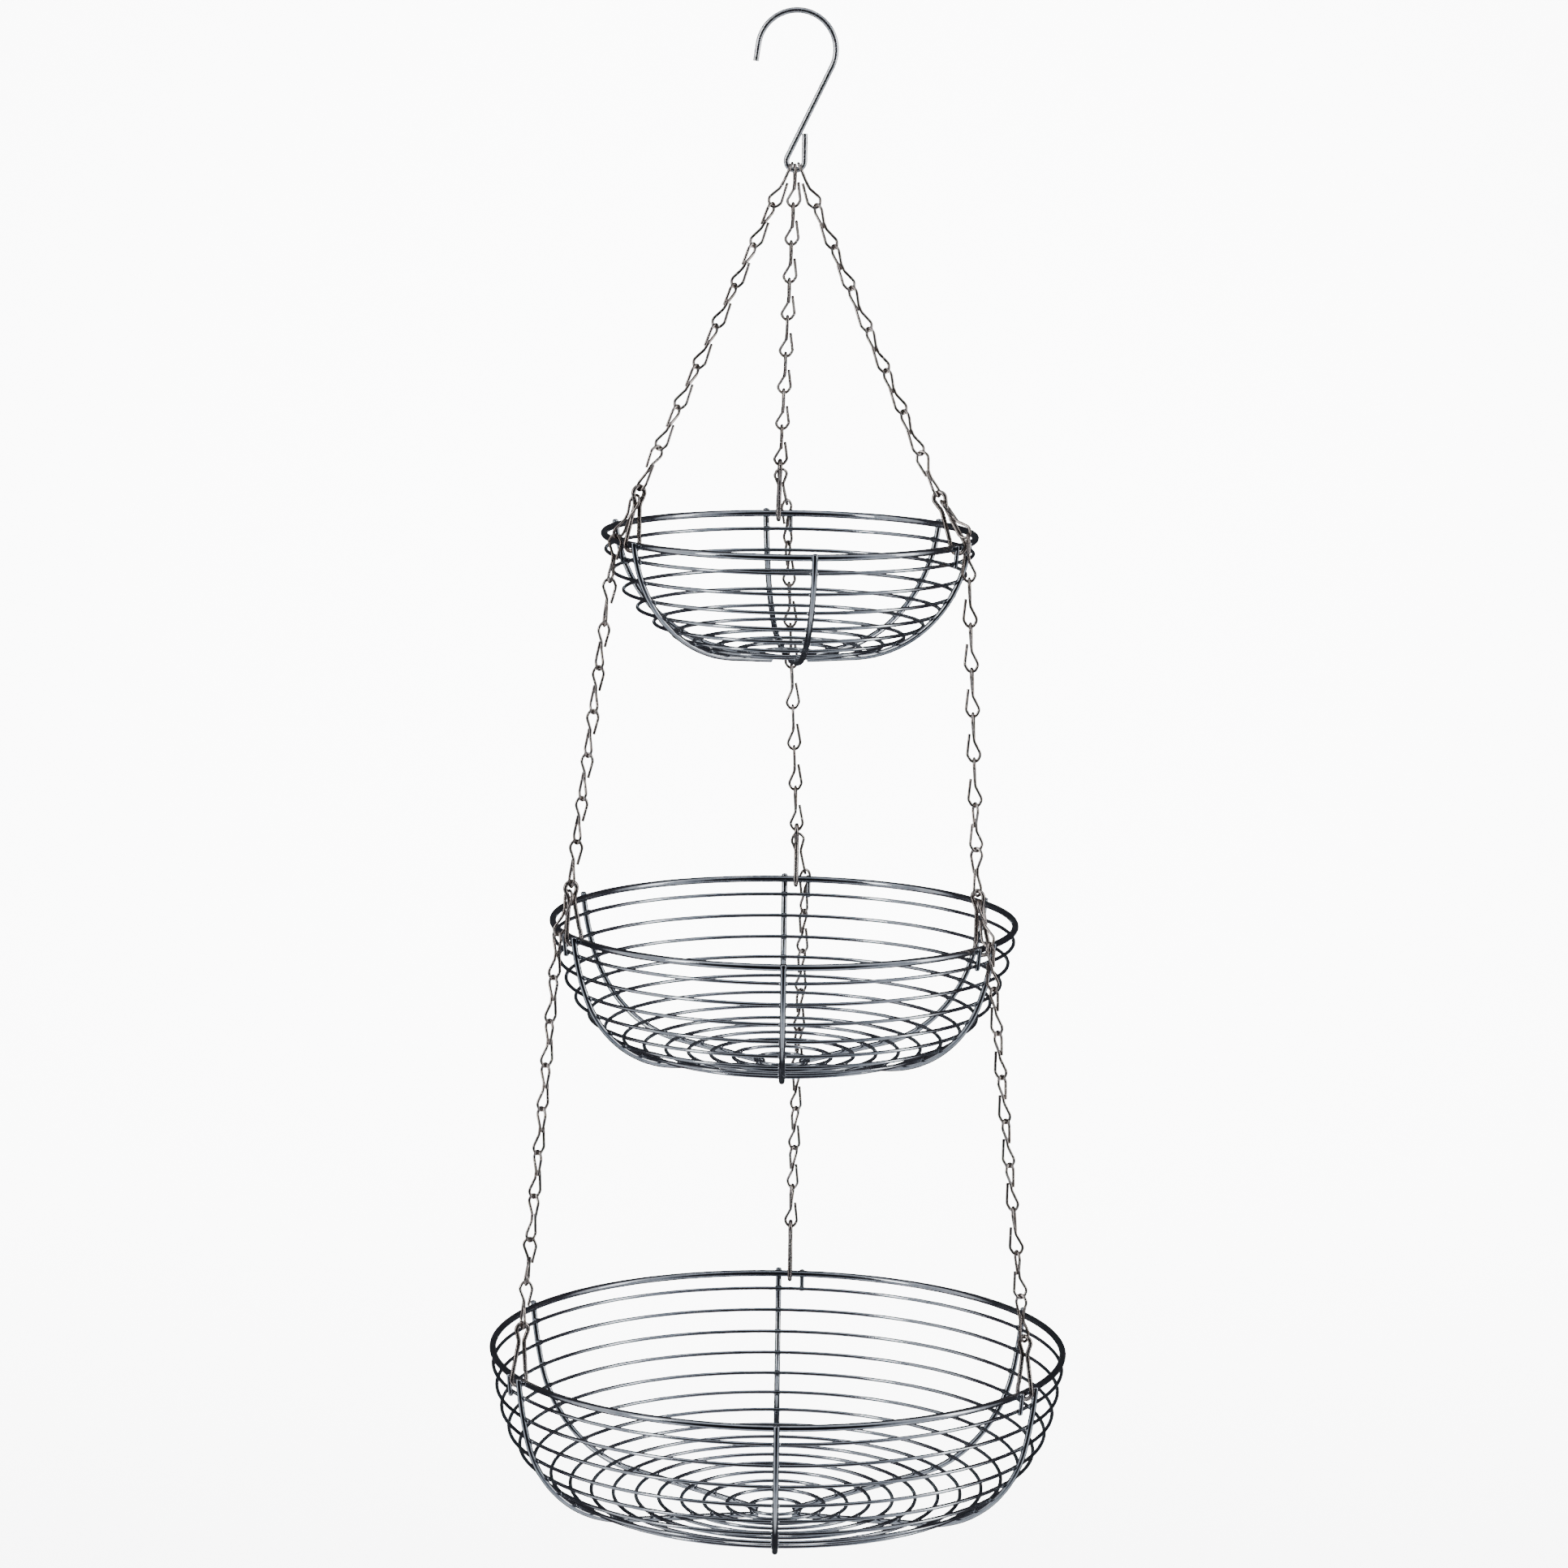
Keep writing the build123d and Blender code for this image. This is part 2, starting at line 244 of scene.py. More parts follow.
class Tier:
    """One basket. Its radius and height come from its rim; angles are in degrees.

    The basket is turned about the vertical by turn. A rib leans inwards by wall_start at the rim and by
    wall_end where it bends into the floor. Each chain above the basket has a number of links. For each
    side, leans is how far the hanger tips inwards, and lies is how far the chain's links are turned
    about the chain.
    """

    def __init__(self, name, turn, wall_radius, wall_start, wall_end, corner_radius, links, leans, lies):
        low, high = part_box(f"{name}_rim")
        self.name = name
        self.radius = max(high[0] - low[0], high[1] - low[1]) / 2 / MM
        self.rim_z = (low[2] + high[2]) / 2 / MM
        self.turn = turn
        self.wall_radius = wall_radius
        self.wall_start = wall_start
        self.wall_end = wall_end
        self.corner_radius = corner_radius
        self.links = links
        self.leans = leans
        self.lies = lies

    def heading(self, lean):
        """Direction down the rib where it leans inwards by an angle, as (outwards, up)."""
        return Vector((-sin(radians(lean)), -cos(radians(lean))))

    def corners(self):
        """The rib's straight outline: rim, wall corner, floor corner and centre, with bend radii."""
        start = Vector((self.radius + RIB_WIRE / 2 - WELD, RIB_RISE))
        floor_lean = 90 - FLOOR_SLOPE
        wall = self.wall_radius * tan(radians(self.wall_end - self.wall_start) / 2)
        corner = self.corner_radius * tan(radians(floor_lean - self.wall_end) / 2)
        first = start + self.heading(self.wall_start) * wall
        second = first + self.heading(self.wall_end) * (wall + corner)
        last_run = (second.x - CENTRE_RING) / cos(radians(FLOOR_SLOPE))
        last = second + self.heading(floor_lean) * last_run
        return [(start, 0.0), (first, self.wall_radius), (second, self.corner_radius), (last, 0.0)]

    def length(self):
        """Length of a rib along its middle."""
        wall = self.wall_radius * radians(self.wall_end - self.wall_start)
        corner = self.corner_radius * radians(90 - FLOOR_SLOPE - self.wall_end)
        start, second, last = (self.corners()[index][0] for index in (0, 2, 3))
        cut = self.corner_radius * tan(radians(90 - FLOOR_SLOPE - self.wall_end) / 2)
        return wall + corner + (last - second).length - cut

    def along(self, reach):
        """Place and heading on a rib's middle, at a distance from its upper end."""
        place = self.corners()[0][0].copy()
        lean = self.wall_start
        for radius, end in ((self.wall_radius, self.wall_end), (self.corner_radius, 90 - FLOOR_SLOPE)):
            turn = min(reach / radius, radians(end - lean))
            far = radians(lean) + turn
            place += radius * Vector((cos(far) - cos(radians(lean)), sin(radians(lean)) - sin(far)))
            lean = degrees(far)
            reach -= radius * turn
        return place + self.heading(lean) * reach, self.heading(lean)


TIERS = [
    Tier("upper", turn=7.4, wall_radius=72.0, wall_start=6.0, wall_end=26.0, corner_radius=70.0, links=8,
         leans={"left": 8.0, "right": 25.0, "back": 16.0},
         lies={"left": -60.0, "right": 60.0, "back": 90.0}),
    Tier("middle", turn=0.0, wall_radius=125.0, wall_start=6.0, wall_end=22.0, corner_radius=62.0, links=9,
         leans={"left": -4.0, "right": 7.0, "back": 2.0},
         lies={"left": 90.0, "right": 20.0, "back": 90.0}),
    Tier("lower", turn=0.0, wall_radius=220.0, wall_start=5.0, wall_end=14.0, corner_radius=66.0, links=10,
         leans={"left": 4.0, "right": 1.0, "back": 2.0},
         lies={"left": 10.0, "right": 0.0, "back": 60.0}),
]


def around(angle, outwards, z):
    """A point at an angle from the front, counted to the right."""
    return Vector((outwards * sin(radians(angle)), -outwards * cos(radians(angle)), z))


def hoop_tree():
    """Each point becomes a level hoop of round wire, as wide as the point's own reach."""
    tree, given = new_tree("hoops", {"Wire": "Float", "Sides": "Int", "Round": "Int",
                                     "Finish": "Material"})
    circle = put(tree, "GeometryNodeCurvePrimitiveCircle",
                 {"Resolution": given.outputs["Round"], "Radius": 1.0})
    places = put(tree, "GeometryNodeMeshToPoints", {"Mesh": given.outputs["Geometry"]})
    hoops = put(tree, "GeometryNodeInstanceOnPoints",
                {"Points": places.outputs[0], "Instance": circle.outputs["Curve"],
                 "Scale": named(tree, "reach", "FLOAT")})
    real = put(tree, "GeometryNodeRealizeInstances", {"Geometry": hoops.outputs[0]})
    even = put(tree, "GeometryNodeSetCurveRadius", {"Curve": real.outputs[0], "Radius": 1.0})
    wire_skin(tree, even.outputs[0], given.outputs["Wire"], given.outputs["Sides"],
              given.outputs["Finish"])
    return tree


def spot_tree():
    """Each point becomes a small rounded lump of its own length, width and lie, a little uneven."""
    tree, given = new_tree("spots", {"Seed": "Int", "Finish": "Material"})
    lump = put(tree, "GeometryNodeMeshIcoSphere", {"Radius": 1.0, "Subdivisions": 3})
    lie = put(tree, "FunctionNodeAxesToRotation",
              {"Primary Axis": named(tree, "out", "FLOAT_VECTOR"),
               "Secondary Axis": named(tree, "side", "FLOAT_VECTOR")},
              primary_axis="Z", secondary_axis="X")
    uneven = put(tree, "FunctionNodeRandomValue",
                 {0: SMALLEST_LUMP, 1: LARGEST_LUMP, "Seed": given.outputs["Seed"]},
                 data_type="FLOAT_VECTOR")
    scale = put(tree, "ShaderNodeVectorMath",
                {0: named(tree, "size", "FLOAT_VECTOR"), 1: uneven.outputs[0]}, operation="MULTIPLY")
    places = put(tree, "GeometryNodeMeshToPoints", {"Mesh": given.outputs["Geometry"]})
    lumps = put(tree, "GeometryNodeInstanceOnPoints",
                {"Points": places.outputs[0], "Instance": lump.outputs["Mesh"],
                 "Rotation": lie.outputs[0], "Scale": scale.outputs[0]})
    real = put(tree, "GeometryNodeRealizeInstances", {"Geometry": lumps.outputs[0]})
    finish_mesh(tree, real.outputs[0], given.outputs["Finish"])
    return tree


hoop = hoop_tree()
spots = spot_tree()
chrome = metal("bright_chrome", dark=(0.27, 0.285, 0.31), light=(0.46, 0.475, 0.50),
               roughness=(0.04, 0.12), grain=700.0, dents=0.12)
weld_chrome = metal("weld_chrome", dark=(0.20, 0.21, 0.23), light=(0.42, 0.43, 0.45),
                    roughness=(0.14, 0.30), grain=1600.0, dents=0.6)

for tier in TIERS:
    rim_seed = seed_mesh("rim_place", [(0, 0, tier.rim_z)], [],
                         reach=[(tier.radius - RIM_WIRE / 2) * MM])
    rim = grow(f"{tier.name}_rim_wire", rim_seed, hoop, f"{tier.name}_tier", "bright_chrome",
               wire=RIM_WIRE * MM, sides=20, round=160, finish=chrome)
    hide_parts(f"{tier.name}_rim")

    rib_lines, ends = [], []
    for angle in RIB_ANGLES.values():
        bearing = tier.turn + angle
        rib_lines.append([(around(bearing, spot.x, tier.rim_z + spot.y), bend)
                          for spot, bend in tier.corners()])
        ends.append(around(bearing, tier.radius + RIB_WIRE / 2 - WELD, tier.rim_z + RIB_RISE))
    ribs = grow(f"{tier.name}_rib_wires", lines_mesh("rib_lines", rib_lines), bent_wire,
                f"{tier.name}_tier", "bright_chrome", wire=RIB_WIRE * MM, sides=16, bend_steps=22,
                finish=chrome)
    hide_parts(*(f"{tier.name}_rib_{name}" for name in RIB_ANGLES))

    top_size = Vector([RIB_WIRE * share for share in RIB_END]) * MM
    end_seed = seed_mesh("rib_ends", ends, [], size=[top_size] * len(ends),
                         out=[Vector((0, 0, 1))] * len(ends),
                         side=[around(tier.turn + angle + 90, 1, 0) for angle in RIB_ANGLES.values()])
    grow(f"{tier.name}_rib_ends", end_seed, spots, f"{tier.name}_tier", "bright_chrome", seed=3,
         finish=weld_chrome)


# ---- Side rings, floor rings and stop wires ----
# Thin steel wire hoops sit inside the ribs, evenly spaced from just under the rim to the middle of the
# floor, with a small swelling of weld metal at each crossing. Beside three of the ribs a short stop
# wire joins the rim to the first ring and keeps the hanger from sliding along the rim.

RING_WIRE = 2.0
STOP_WIRE = 2.4
FIRST_RING = 10.5
RING_PITCH = 12.0
STOP_SPACING = 13.0  # along the rim, from a rib to the stop wire beside it
STOP_DROP = 10.5
STOP_RISE = 1.0
RING_SPOT = (2.5, 1.45, 1.15)  # half sizes of a ring's weld lump: along the ring, down the rib, through
RING_SPOT_OUT = 0.35  # how far a ring's weld lump sits outside the ring's middle
STOP_SPOT = (1.5, 1.4, 1.0)  # half sizes of a stop wire's weld lump: along the rim, inwards, upwards
STOP_SPOT_IN = 0.3  # how far a stop wire's weld lump sits inside the stop wire's middle
SIDES = {"left": -60.0, "right": 60.0, "back": 180.0}

for tier in TIERS:
    gaps = round((tier.length() - FIRST_RING - RIB_WIRE) / RING_PITCH)
    step = (tier.length() - FIRST_RING - RIB_WIRE) / gaps
    inset = (RIB_WIRE + RING_WIRE) / 2 - WELD
    heights, reaches, welds, sizes, outs, sides = [], [], [], [], [], []
    for index in range(gaps + 1):
        place, heading = tier.along(FIRST_RING + index * step)
        inwards = Vector((heading.y, -heading.x))
        ring = place + inwards * inset
        heights.append((0, 0, tier.rim_z + ring.y))
        reaches.append(ring.x * MM)
        weld = place + inwards * (inset - RING_SPOT_OUT)
        for angle in RIB_ANGLES.values():
            bearing = tier.turn + angle
            welds.append(around(bearing, weld.x, tier.rim_z + weld.y))
            outs.append(around(bearing, inwards.x, inwards.y))
            sides.append(around(bearing + 90, 1, 0))
            sizes.append(Vector(RING_SPOT) * MM)
    rings = grow(f"{tier.name}_ring_wires", seed_mesh("ring_places", heights, [], reach=reaches), hoop,
                 f"{tier.name}_tier", "bright_chrome", wire=RING_WIRE * MM, sides=12, round=128,
                 finish=chrome)
    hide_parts(f"{tier.name}_side_rings", f"{tier.name}_floor_rings")

    stop_lines = []
    lean = tier.heading(tier.wall_start)
    for angle in SIDES.values():
        bearing = tier.turn + angle - degrees(STOP_SPACING / tier.radius)
        top = Vector((tier.radius + STOP_WIRE / 2 - WELD, STOP_RISE))
        foot = top + lean * STOP_DROP
        stop_lines.append([(around(bearing, spot.x, tier.rim_z + spot.y), 0.0) for spot in (top, foot)])
        for spot in (top, foot):
            welds.append(around(bearing, spot.x - STOP_SPOT_IN, tier.rim_z + spot.y))
            outs.append(Vector((0, 0, 1)))
            sides.append(around(bearing + 90, 1, 0))
            sizes.append(Vector(STOP_SPOT) * MM)
    stops = grow(f"{tier.name}_stop_rods", lines_mesh("stop_lines", stop_lines), bent_wire,
                 f"{tier.name}_tier", "bright_chrome", wire=STOP_WIRE * MM, sides=12, bend_steps=1,
                 finish=chrome)
    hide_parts(f"{tier.name}_stop_wires")
    weld_seed = seed_mesh("weld_places", welds, [], size=sizes, out=outs, side=sides)
    grow(f"{tier.name}_weld_spots", weld_seed, spots, f"{tier.name}_tier", "bright_chrome", seed=11,
         finish=weld_chrome)


# ---- Hangers ----
# Each hanger is a short piece of softer nickel-plated wire, closed by hand round the rim into a pear
# shape. Its eye takes the chains, and its two ends butt on the inner leg with a slight step.

HANGER_WIRE = 2.4
HANGER_SPACING = 6.3  # along the rim, from a rib to the hanger beside it
EYE_TOP = 30.0  # heights are from the rim wire's middle to the hanger wire's
EYE_HALF = 3.6
EYE_WIDEST = 27.2
EYE_BEND = 3.0
NECK_HALF = 1.4
NECK_HEIGHT = 20.5
NECK_BEND = 6.0
BASE_HALF = 4.6
BASE_BEND = 3.6
BASE_GAP = 0.1  # between the hanger and the underside of the rim
CROWN_RISE = 1.8  # how far the outline's top corner stands above the rounded eye
SEAM_SHARE = 0.32  # how far up the inner leg the two ends meet
SEAM_STEP = 0.35
SEAM_GAP = 0.25


def hanger_angle(tier, side):
    """Where a hanger sits round its rim, in degrees from the front."""
    return tier.turn + SIDES[side] - degrees(HANGER_SPACING / tier.radius)


def hanger_point(tier, side, outwards, up):
    """A point of a hanger's outline, measured from the rim wire, after the hanger's lean."""
    lean = radians(tier.leans[side])
    reach = outwards * cos(lean) - up * sin(lean)
    rise = outwards * sin(lean) + up * cos(lean)
    return around(hanger_angle(tier, side), tier.radius - RIM_WIRE / 2 + reach, tier.rim_z + rise)


nickel = metal("nickel_wire", dark=(0.17, 0.14, 0.125), light=(0.48, 0.42, 0.385),
               roughness=(0.12, 0.30), grain=1100.0, dents=0.4)
base = -(RIM_WIRE + HANGER_WIRE) / 2 - BASE_GAP
seam = Vector((-BASE_HALF, base)).lerp(Vector((-NECK_HALF, NECK_HEIGHT)), SEAM_SHARE)
hanger_outline = [
    ((seam.x + SEAM_STEP / 2, seam.y + SEAM_GAP / 2), 0.0),
    ((-NECK_HALF, NECK_HEIGHT), NECK_BEND),
    ((-EYE_HALF, EYE_WIDEST), EYE_BEND),
    ((0.0, EYE_TOP + CROWN_RISE), EYE_BEND),
    ((EYE_HALF, EYE_WIDEST), EYE_BEND),
    ((NECK_HALF, NECK_HEIGHT), NECK_BEND),
    ((BASE_HALF, base), BASE_BEND),
    ((-BASE_HALF, base), BASE_BEND),
    ((seam.x - SEAM_STEP / 2, seam.y - SEAM_GAP / 2), 0.0),
]
for tier in TIERS:
    for side in SIDES:
        line = [(hanger_point(tier, side, *spot), bend) for spot, bend in hanger_outline]
        piece = grow(f"{tier.name}_hanger_wire_{side}", lines_mesh("hanger_line", [line]), bent_wire,
                     f"{tier.name}_tier", "nickel_wire", wire=HANGER_WIRE * MM, sides=14, bend_steps=9,
                     finish=nickel)
        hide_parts(f"{tier.name}_hanger_{side}")


# ---- Chains ----
# Single jack chain: each link is one short wire bent into two open teardrop loops at right angles, and
# hooked by machine into the next without welding. It carries the same dull nickel plate as the hangers.

LINK_WIRE = 1.6
LINK_HALF = 3.5
LINK_SHOULDER = 3.6
LINK_CROWN = 2.8  # how far a loop's corner stands beyond its rounded end
LOOP_BEND = 3.0
CROWN_BEND = 2.6
TAIL_GAP = 2.0  # from a link's middle line to the cut end of a loop
UPPER_TAIL = 0.52  # how far down the link each loop's cut end lies, as a share of its length
LOWER_TAIL = 0.42
WAIST_START = 0.42  # stretch of the link's length in which the wire crosses from loop to loop
WAIST_END = 0.58
WAIST_OFFSET = 0.3
LINK_TURN = 30.0  # most degrees that a link can turn against the one above it
HOOK_SPREAD = 52.0  # degrees between the back chain and the others round the hook's small bend
CHAIN_STANDOFF = 5.5  # how far outside a rim the chain below passes
CHAIN_SHIFT = 4.5  # how far beside the hanger, towards its stop wire
EYE_REST = 0.5  # how far outwards in the eye the chain below hangs
EYE_REST_DROP = 4.8  # how far below the eye's top
EYE_TURN = 8.5  # degrees that the first link in an eye is turned about the chain
FOOT_TURN = 80.0  # degrees that the last link over an eye is turned
HOOK_TURNS = {"left": -33.0, "right": 27.0, "back": 90.0}  # of the first links, in the hook
HOOK_FOOT_TURNS = {"left": -90.0, "right": 90.0, "back": 90.0}  # of the last links in those chains
HOOK_PLAY = 0.4  # gap between the hook's small bend and each link in it
EYE_GAP = 0.7  # free play of a last link under the top of its eye
UPPER_EYE_GAP = 0.1  # the same on the upper basket, whose chains don't move against it
LINK_TIE = LINK_WIRE + 0.1  # overlap of two links along a run
CHAIN_SLACK = 3.0  # degrees of random twist, each way
CHAIN_SEED = 31
SIDE_SEED = 7  # added for each further side


def link_line(length):
    """One link, hanging down from the origin: its upper loop faces the front, its lower one the side."""
    waist_top, waist_foot = -WAIST_START * length, -WAIST_END * length
    upper = [(TAIL_GAP, 0, -UPPER_TAIL * length), (LINK_HALF, 0, -LINK_SHOULDER), (0, 0, LINK_CROWN),
             (-LINK_HALF, 0, -LINK_SHOULDER), (-WAIST_OFFSET, 0, waist_top)]
    lower = [(0, -WAIST_OFFSET, waist_foot), (0, -LINK_HALF, LINK_SHOULDER - length),
             (0, 0, -LINK_CROWN - length), (0, LINK_HALF, LINK_SHOULDER - length),
             (0, TAIL_GAP, -LOWER_TAIL * length)]
    upper_bends = [0.0, LOOP_BEND, CROWN_BEND, LOOP_BEND, LOOP_BEND]
    return list(zip(upper + lower, upper_bends + upper_bends[::-1]))


def chain_tree():
    """Each point becomes one copy of the pattern link, with its own lie."""
    tree, given = new_tree("chain", {"Link": "Object", "Seed": "Int", "Slack": "Float",
                                     "Finish": "Material"})
    pattern = put(tree, "GeometryNodeObjectInfo", {"Object": given.outputs["Link"]})
    lie = put(tree, "FunctionNodeAxesToRotation",
              {"Primary Axis": named(tree, "up", "FLOAT_VECTOR"),
               "Secondary Axis": named(tree, "side", "FLOAT_VECTOR")},
              primary_axis="Z", secondary_axis="X")
    less = put(tree, "ShaderNodeMath", {0: given.outputs["Slack"], 1: -1.0}, operation="MULTIPLY")
    loose = put(tree, "FunctionNodeRandomValue",
                {2: less.outputs[0], 3: given.outputs["Slack"], "Seed": given.outputs["Seed"]},
                data_type="FLOAT")
    twist = put(tree, "FunctionNodeAxisAngleToRotation", {"Axis": (0, 0, 1), "Angle": loose.outputs[1]})
    turned = put(tree, "FunctionNodeRotateRotation",
                 {"Rotation": lie.outputs[0], "Rotate By": twist.outputs[0]}, rotation_space="LOCAL")
    places = put(tree, "GeometryNodeMeshToPoints", {"Mesh": given.outputs["Geometry"]})
    links = put(tree, "GeometryNodeInstanceOnPoints",
                {"Points": places.outputs[0], "Instance": pattern.outputs["Geometry"],
                 "Rotation": turned.outputs[0]})
    real = put(tree, "GeometryNodeRealizeInstances", {"Geometry": links.outputs[0]})
    coated = put(tree, "GeometryNodeSetMaterial",
                 {"Geometry": real.outputs[0], "Material": given.outputs["Finish"]})
    put(tree, "NodeGroupOutput", {"Geometry": coated.outputs[0]})
    return tree


def hook_rest(side, end):
    """Where the top of a first link lies inside the hook's small bend, when it pulls towards an end."""
    place = radians({"left": -HOOK_SPREAD, "right": HOOK_SPREAD, "back": 0.0}[side])
    outwards = Vector((sin(place), 0, -cos(place)))
    wire = Vector((0, 0, SMALL_BEND - HOOK_DROP)) + outwards * SMALL_BEND
    along = Vector((cos(place), 0, sin(place)))
    pull = end - wire
    across = (pull - along * pull.dot(along)).normalized()
    return wire - across * ((HOOK_WIRE + LINK_WIRE) / 2 + HOOK_PLAY)


def link_turns(count, first, lie, last):
    """Turn of each link about the run: it leaves its hanger, settles to its lie and meets the next."""
    turns = []
    for index in range(count):
        after, before = index * LINK_TURN, (count - 1 - index) * LINK_TURN
        turn = max(min(lie, first + after), first - after)
        turns.append(max(min(turn, last + before), last - before))
    return turns


def run_places(start, end, angle, turns, via):
    """Top, upward and sideways direction of each link in a run, and the links' length."""
    stretch = (via - start).length + (end - via).length
    length = (stretch + (len(turns) - 1) * LINK_TIE) / len(turns)
    tangential = around(angle + 90, 1, 0)
    tops, ups, sideways = [start], [], []
    for index, turn in enumerate(turns):
        aim = via if index == 0 else end
        down = (aim - tops[-1]).normalized()
        flat = (tangential - down * tangential.dot(down)).normalized()
        across = down.cross(flat) * -1
        ups.append(-down)
        sideways.append(flat * cos(radians(turn)) + across * sin(radians(turn)))
        foot = tops[-1] + down * length
        onwards = (end - foot).normalized() if index == 0 else down
        tops.append(foot - onwards * LINK_TIE)
    return tops[:-1], ups, sideways, length


chain = chain_tree()
above = None
for tier in TIERS:
    for index, side in enumerate(SIDES):
        if above:
            start = hanger_point(above, side, EYE_REST, EYE_TOP - EYE_REST_DROP)
            angle = hanger_angle(above, side)
            pitch = LINK_WIRE + (above.rim_z - tier.rim_z) / tier.links
            reach = above.radius + CHAIN_STANDOFF - start.xy.length
            beside = angle - degrees(CHAIN_SHIFT / above.radius)
            drop = (pitch**2 - reach**2) ** 0.5
            via = around(beside, above.radius + CHAIN_STANDOFF, start.z - drop)
            turns = link_turns(tier.links, EYE_TURN, tier.lies[side], FOOT_TURN)
            end = hanger_point(tier, side, 0, EYE_TOP - (HANGER_WIRE + LINK_WIRE) / 2 - EYE_GAP)
            body = f"{tier.name}_run_{side}"
        else:
            end = hanger_point(tier, side, 0, EYE_TOP - (HANGER_WIRE + LINK_WIRE) / 2 - UPPER_EYE_GAP)
            start = hook_rest(side, end)
            angle = hanger_angle(tier, side)
            via = start.lerp(end, 1 / tier.links)
            turns = link_turns(tier.links, HOOK_TURNS[side], tier.lies[side], HOOK_FOOT_TURNS[side])
            body = "upper_tier"
        tops, ups, sideways, length = run_places(start, end, angle, turns, via)
        pattern = grow("pattern_link", lines_mesh("link_line", [link_line(length)]), bent_wire, body,
                       "nickel_wire", wire=LINK_WIRE * MM, sides=10, bend_steps=6, finish=nickel)
        run_seed = seed_mesh("link_places", tops, [], up=ups, side=sideways)
        run = grow(f"{tier.name}_chain_links_{side}", run_seed, chain, body, "nickel_wire", link=pattern,
                   seed=CHAIN_SEED + SIDE_SEED * index + tier.links, slack=radians(CHAIN_SLACK),
                   finish=nickel)
        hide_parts(f"{tier.name}_chain_{side}")
        bpy.data.objects.remove(pattern)
    above = tier


# ---- Floor, light and camera ----
# A pale floor well below the baskets sweeps up into a wall behind them. The room is pale beside the
# baskets and dark before and behind them, so the polished wires mirror dark and pale bands.

FLOOR_DROP = 1.3  # metres below the hook
FLOOR_FRONT = -12.0
FLOOR_BACK = 4.2
SWEEP = 1.6  # radius of the curve between floor and wall
SWEEP_STEPS = 24
WALL_TOP = 3.4
STAGE_HALF = 14.0
STAGE_PAINT = (0.9, 0.9, 0.9, 1)
STAGE_ROUGHNESS = 0.9
LIGHT_SPREAD = 110.0
ROOM_SHADES = {  # what the wires mirror, from the camera's side (0) to behind the baskets (1)
    0.12: (0.012, 0.012, 0.015, 1),
    0.21: (0.48, 0.53, 0.60, 1),
    0.46: (0.85, 0.88, 0.93, 1),
    0.58: (0.05, 0.05, 0.06, 1),
}
ROOM_FRONT = (0.008, 0.008, 0.01, 1)
ROOM_BACK = (0.03, 0.03, 0.035, 1)
ROOM_SEEN = (0.95, 0.95, 0.95, 1)
ROOM_STRENGTH = 1.3
CAMERA_PLACE = (-0.0011, -2.6985, 0.0585)
CAMERA_PITCH = 9.577
CAMERA_ROLL = 0.853
CAMERA_LENS = 120.85


def stage_floor():
    """Floor and wall in one sheet, joined by a wide curve."""
    curve = [radians(90 * step / SWEEP_STEPS) for step in range(SWEEP_STEPS + 1)]
    profile = [(FLOOR_FRONT, -FLOOR_DROP)]
    for turn in curve:
        profile.append((FLOOR_BACK - SWEEP + SWEEP * sin(turn), SWEEP - SWEEP * cos(turn) - FLOOR_DROP))
    profile.append((FLOOR_BACK, WALL_TOP))
    mesh = bpy.data.meshes.new("stage_floor")
    points = [(side * STAGE_HALF, y, z) for y, z in profile for side in (-1, 1)]
    faces = [(2 * row, 2 * row + 1, 2 * row + 3, 2 * row + 2) for row in range(len(profile) - 1)]
    mesh.from_pydata(points, [], faces)
    mesh.shade_smooth()
    floor = bpy.data.objects.new("stage_floor", mesh)
    bpy.context.scene.collection.objects.link(floor)
    paint = bpy.data.materials.new("stage_floor")
    paint.use_nodes = True
    shader = paint.node_tree.nodes["Principled BSDF"]
    shader.inputs["Base Color"].default_value = STAGE_PAINT
    shader.inputs["Roughness"].default_value = STAGE_ROUGHNESS
    mesh.materials.append(paint)
    floor.visible_glossy = False  # the wires mirror the room instead, which outlines them


def soft_light(name, place, aim, size, power, mirrored):
    """An area light. One that isn't mirrored lights the stage but leaves no glint on the wires."""
    data = bpy.data.lights.new(name, "AREA")
    data.shape = "RECTANGLE"
    data.size, data.size_y = size
    data.energy = power
    data.spread = radians(LIGHT_SPREAD)
    lamp = bpy.data.objects.new(name, data)
    lamp.location = place
    lamp.visible_glossy = mirrored
    lamp.rotation_euler = (Vector(aim) - Vector(place)).to_track_quat("-Z", "Y").to_euler()
    bpy.context.scene.collection.objects.link(lamp)


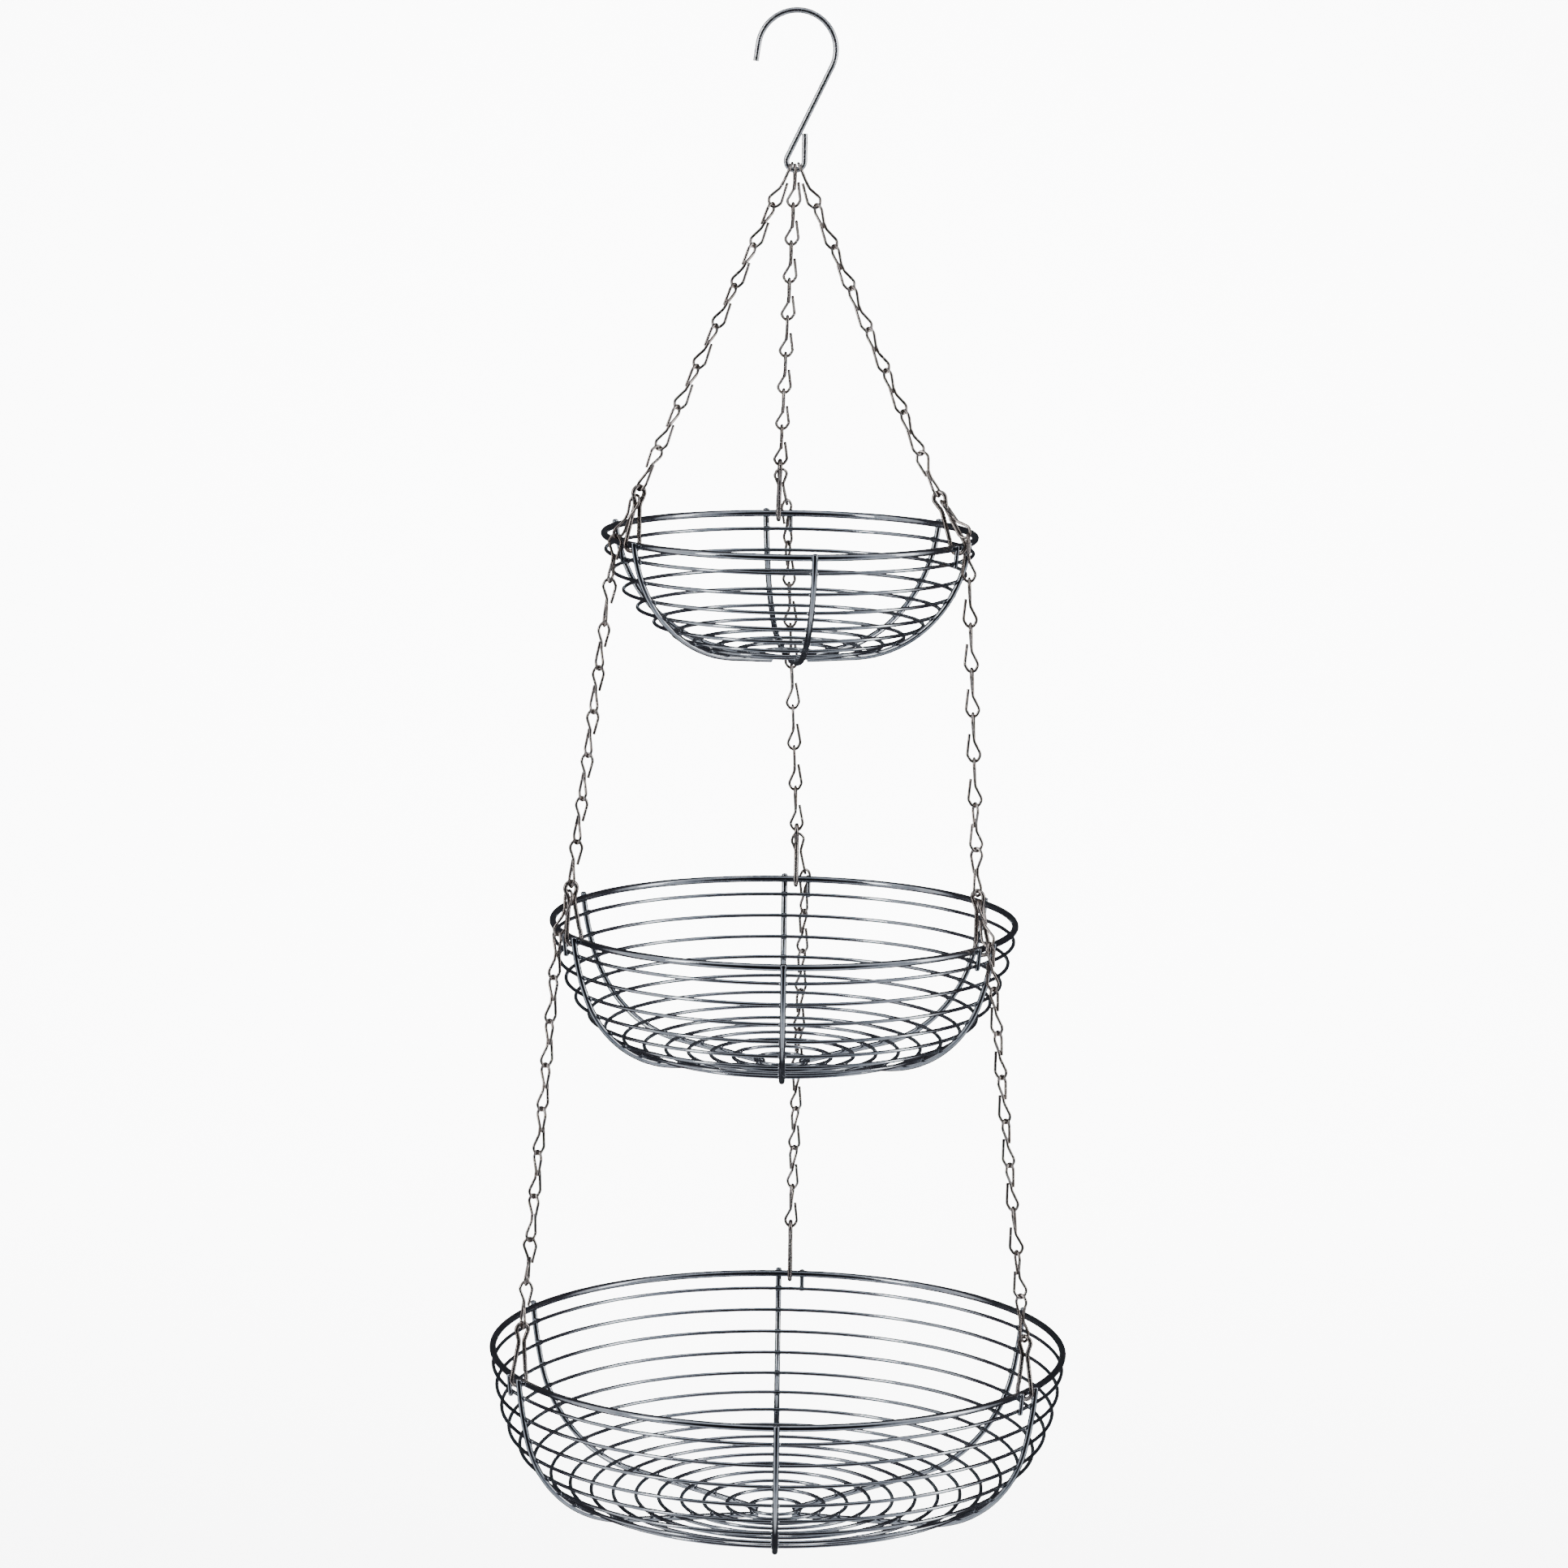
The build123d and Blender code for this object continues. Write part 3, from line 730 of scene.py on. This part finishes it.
def surround():
    """World light: pale in a wide belt beside the baskets, dark on the camera's side and behind them.

    Only the wires and the stage see that. Looked at directly it is plain pale grey.
    """
    world = bpy.data.worlds.new("surround")
    world.use_nodes = True
    tree = world.node_tree
    place = put(tree, "ShaderNodeTexCoord", {}).outputs["Generated"]
    split = put(tree, "ShaderNodeSeparateXYZ", {0: place})
    level = put(tree, "ShaderNodeMapRange",
                {"Value": split.outputs["Y"], "From Min": -1.0, "From Max": 1.0})
    shade = put(tree, "ShaderNodeValToRGB", {"Fac": level.outputs["Result"]})
    ramp = shade.color_ramp
    ramp.elements[0].color = ROOM_FRONT
    ramp.elements[1].color = ROOM_BACK
    for position, colour in ROOM_SHADES.items():
        ramp.elements.new(position).color = colour
    direct = put(tree, "ShaderNodeLightPath", {}).outputs["Is Camera Ray"]
    seen = put(tree, "ShaderNodeMix", {"Factor": direct, 6: shade.outputs["Color"]}, data_type="RGBA")
    seen.inputs[7].default_value = ROOM_SEEN
    tree.links.new(seen.outputs[2], tree.nodes["Background"].inputs["Color"])
    tree.nodes["Background"].inputs["Strength"].default_value = ROOM_STRENGTH
    bpy.context.scene.world = world


def photographer():
    """The camera, level apart from a small roll, looking slightly down at the baskets."""
    data = bpy.data.cameras.new("camera")
    data.sensor_width = 36.0
    data.lens = CAMERA_LENS
    camera = bpy.data.objects.new("camera", data)
    pitch, roll = radians(CAMERA_PITCH), radians(CAMERA_ROLL)
    ahead = Vector((0, cos(pitch), -sin(pitch)))
    level = Vector((1, 0, 0))
    raised = level.cross(ahead)
    right = level * cos(roll) + raised * sin(roll)
    up = raised * cos(roll) - level * sin(roll)
    facing = Matrix((right, up, -ahead)).transposed().to_4x4()
    camera.matrix_world = Matrix.Translation(CAMERA_PLACE) @ facing
    bpy.context.scene.collection.objects.link(camera)
    bpy.context.scene.camera = camera


stage_floor()
surround()
photographer()
soft_light("wall_light", (0, 1.8, 3.2), (0, 4.2, 0.0), (4.0, 1.5), 900.0, mirrored=False)
soft_light("floor_light", (0, 0.0, 3.6), (0, 0.4, -1.3), (5.0, 5.0), 700.0, mirrored=False)
soft_light("left_light", (-2.0, -1.6, 0.3), (0, 0, -0.4), (0.5, 2.0), 9.0, mirrored=True)
soft_light("right_light", (2.2, -0.6, 0.0), (0, 0, -0.4), (0.6, 2.0), 7.0, mirrored=True)
